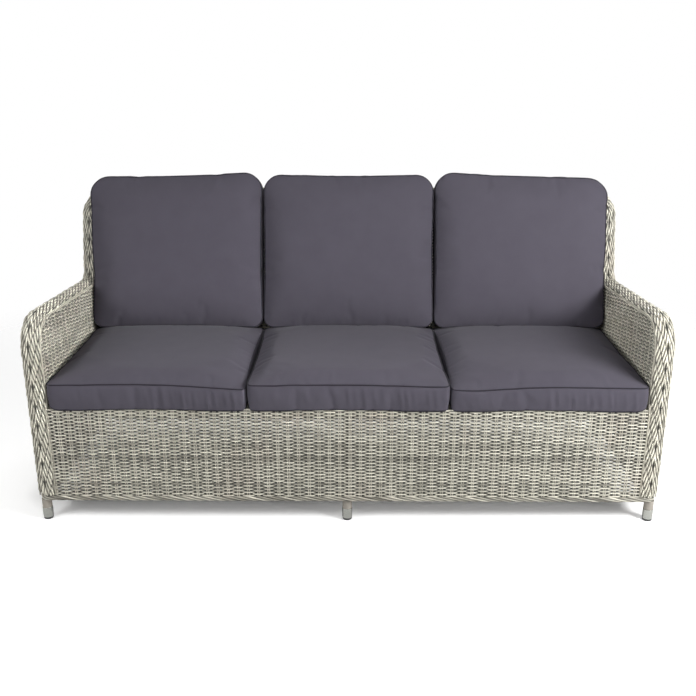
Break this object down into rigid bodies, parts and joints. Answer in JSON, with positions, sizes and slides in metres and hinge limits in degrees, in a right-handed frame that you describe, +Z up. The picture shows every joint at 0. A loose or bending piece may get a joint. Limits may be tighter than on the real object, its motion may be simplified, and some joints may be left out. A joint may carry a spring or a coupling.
{
  "type": "garden sofa",
  "caption": "Three-seat garden sofa: woven rattan skins over a tube frame, rounded arms, reclined back and loose boxed seat and back cushions.",
  "frame": {"origin": "on the floor, under the centre of the bounding box", "axes": "+X along the sofa to the right seen from the front, +Y towards the back, +Z up; the front faces -Y"},
  "size_m": [1.9276, 0.7874, 0.9854],
  "materials": {
    "wicker": "woven round synthetic rattan strands in pale beige and grey",
    "frame_paint": "matte grey-beige powder coat on aluminium tube",
    "foot_aluminium": "brushed to a low gloss",
    "glide_plastic": "dark moulded plastic",
    "cushion_fabric": "plain weave outdoor polyester, slate grey with a violet cast, darker piping"
  },
  "bodies": {
    "frame": {"arm_band_left": "wicker", "arm_band_right": "wicker", "arm_inner_panel_left": "wicker", "arm_inner_panel_right": "wicker", "arm_tube_left": "frame_paint", "arm_tube_right": "frame_paint", "back_edge_band_left": "wicker", "back_edge_band_right": "wicker", "back_inner_panel": "wicker", "back_outer_panel": "wicker", "back_post_left": "frame_paint", "back_post_right": "frame_paint", "back_top_band": "wicker", "back_top_rail": "frame_paint", "back_upright": "frame_paint", "base_rail_front": "frame_paint", "base_rail_left": "frame_paint", "base_rail_rear": "frame_paint", "base_rail_right": "frame_paint", "base_rope_front": "wicker", "base_rope_left": "wicker", "base_rope_rear": "wicker", "base_rope_right": "wicker", "centre_leg_front": "frame_paint", "centre_leg_rear": "frame_paint", "foot_glide_front_centre": "glide_plastic", "foot_glide_front_left": "glide_plastic", "foot_glide_front_right": "glide_plastic", "foot_glide_rear_centre": "glide_plastic", "foot_glide_rear_left": "glide_plastic", "foot_glide_rear_right": "glide_plastic", "foot_sleeve_front_centre": "foot_aluminium", "foot_sleeve_front_left": "foot_aluminium", "foot_sleeve_front_right": "foot_aluminium", "foot_sleeve_rear_centre": "foot_aluminium", "foot_sleeve_rear_left": "foot_aluminium", "foot_sleeve_rear_right": "foot_aluminium", "front_skirt": "wicker", "leg_end_front_centre": "frame_paint", "leg_end_front_left": "frame_paint", "leg_end_front_right": "frame_paint", "leg_end_rear_centre": "frame_paint", "leg_end_rear_left": "frame_paint", "leg_end_rear_right": "frame_paint", "rear_skirt": "wicker", "seat_cross_bar": "frame_paint", "seat_deck": "wicker", "seat_rail_front": "frame_paint", "seat_rail_left": "frame_paint", "seat_rail_rear": "frame_paint", "seat_rail_right": "frame_paint", "side_panel_left": "wicker", "side_panel_right": "wicker"},
    "seat_cushion_left": {"seat_cushion_left": "cushion_fabric"},
    "seat_cushion_middle": {"seat_cushion_middle": "cushion_fabric"},
    "seat_cushion_right": {"seat_cushion_right": "cushion_fabric"},
    "back_cushion_left": {"back_cushion_left": "cushion_fabric"},
    "back_cushion_middle": {"back_cushion_middle": "cushion_fabric"},
    "back_cushion_right": {"back_cushion_right": "cushion_fabric"}
  },
  "joints": [
    {"name": "seat_cushion_left_pull", "type": "slide", "parent": "frame", "child": "seat_cushion_left", "axis": [0, -1, 0], "range_m": [0, 0.6]},
    {"name": "seat_cushion_middle_pull", "type": "slide", "parent": "frame", "child": "seat_cushion_middle", "axis": [0, -1, 0], "range_m": [0, 0.6]},
    {"name": "seat_cushion_right_pull", "type": "slide", "parent": "frame", "child": "seat_cushion_right", "axis": [0, -1, 0], "range_m": [0, 0.6]},
    {"name": "back_cushion_left_lift", "type": "slide", "parent": "frame", "child": "back_cushion_left", "axis": [0, 0.2672, 0.9636], "range_m": [0, 0.55]},
    {"name": "back_cushion_middle_lift", "type": "slide", "parent": "frame", "child": "back_cushion_middle", "axis": [0, 0.2672, 0.9636], "range_m": [0, 0.55]},
    {"name": "back_cushion_right_lift", "type": "slide", "parent": "frame", "child": "back_cushion_right", "axis": [0, 0.2672, 0.9636], "range_m": [0, 0.55]}
  ]
}
